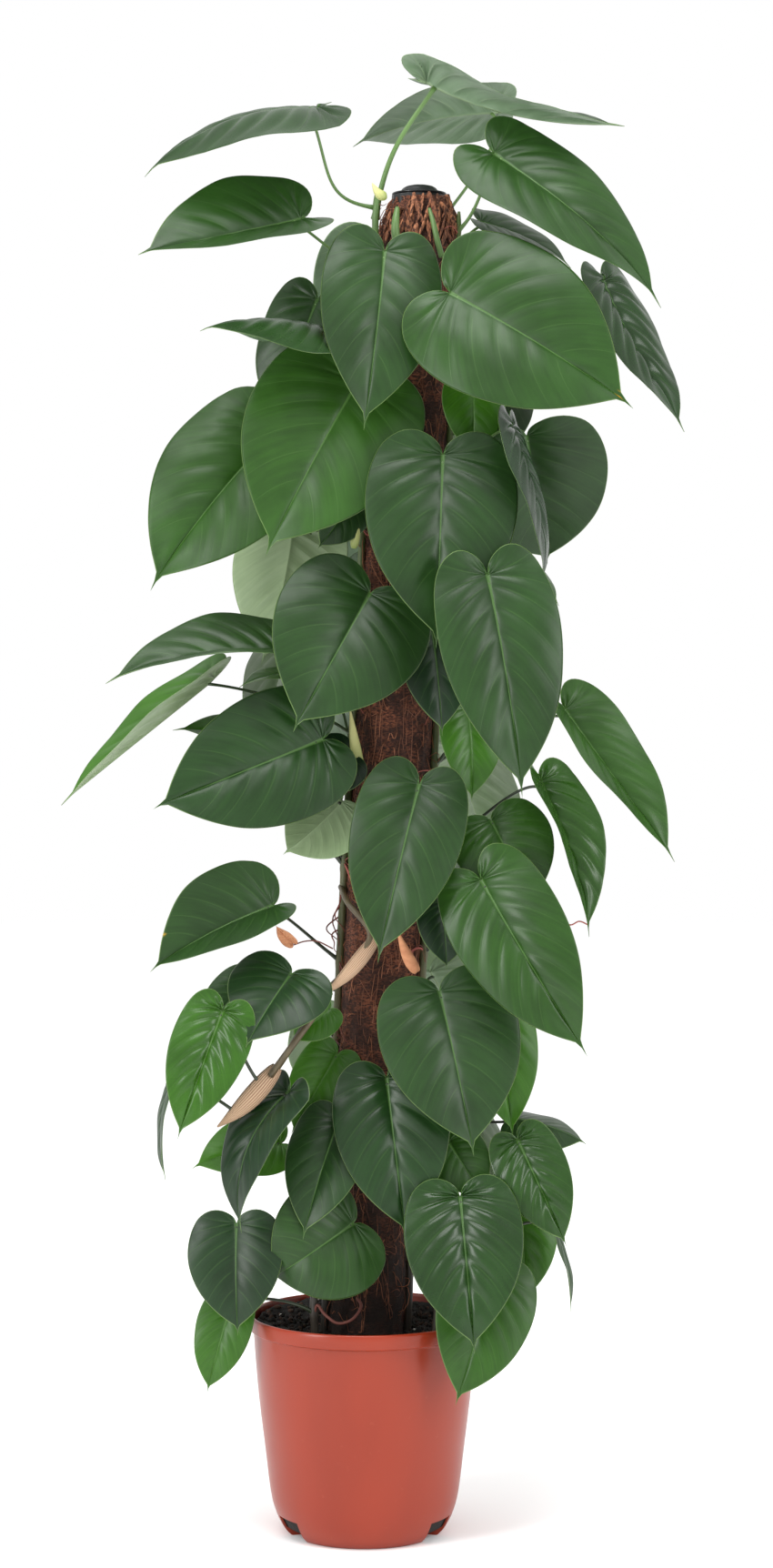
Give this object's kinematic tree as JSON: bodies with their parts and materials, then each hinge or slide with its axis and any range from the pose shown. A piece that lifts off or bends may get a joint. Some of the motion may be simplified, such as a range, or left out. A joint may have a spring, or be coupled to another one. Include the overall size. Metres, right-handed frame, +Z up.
{
  "type": "potted heartleaf philodendron",
  "caption": "Tall climbing houseplant with heart-shaped green leaves on a coir pole, in a tapered terracotta-coloured plastic pot.",
  "frame": {"origin": "centre of the pot's resting face, on the surface that the pot stands on", "axes": "+Z up, the pictured front faces -Y, +X to the viewer's right"},
  "size_m": [0.6667, 0.4637, 1.6086],
  "materials": {
    "pot_plastic": "satin moulded plastic, terracotta coloured",
    "potting_mix": "rough dark peat and bark with white grains",
    "black_plastic": "satin moulded plastic, black",
    "coir": "matte matted coconut fibre, reddish brown",
    "foliage": "satin leaves with sunken veins and a thin pale margin, green stalks and stems"
  },
  "bodies": {
    "root": {"pot": "pot_plastic", "soil": "potting_mix", "pole_tube": "black_plastic", "pole_coir": "coir", "pole_cap": "black_plastic", "vine_left": "foliage", "vine_right": "foliage", "vine_back_left": "foliage", "vine_back_right": "foliage", "shoot_left": "foliage", "shoot_right": "foliage"}
  },
  "joints": []
}
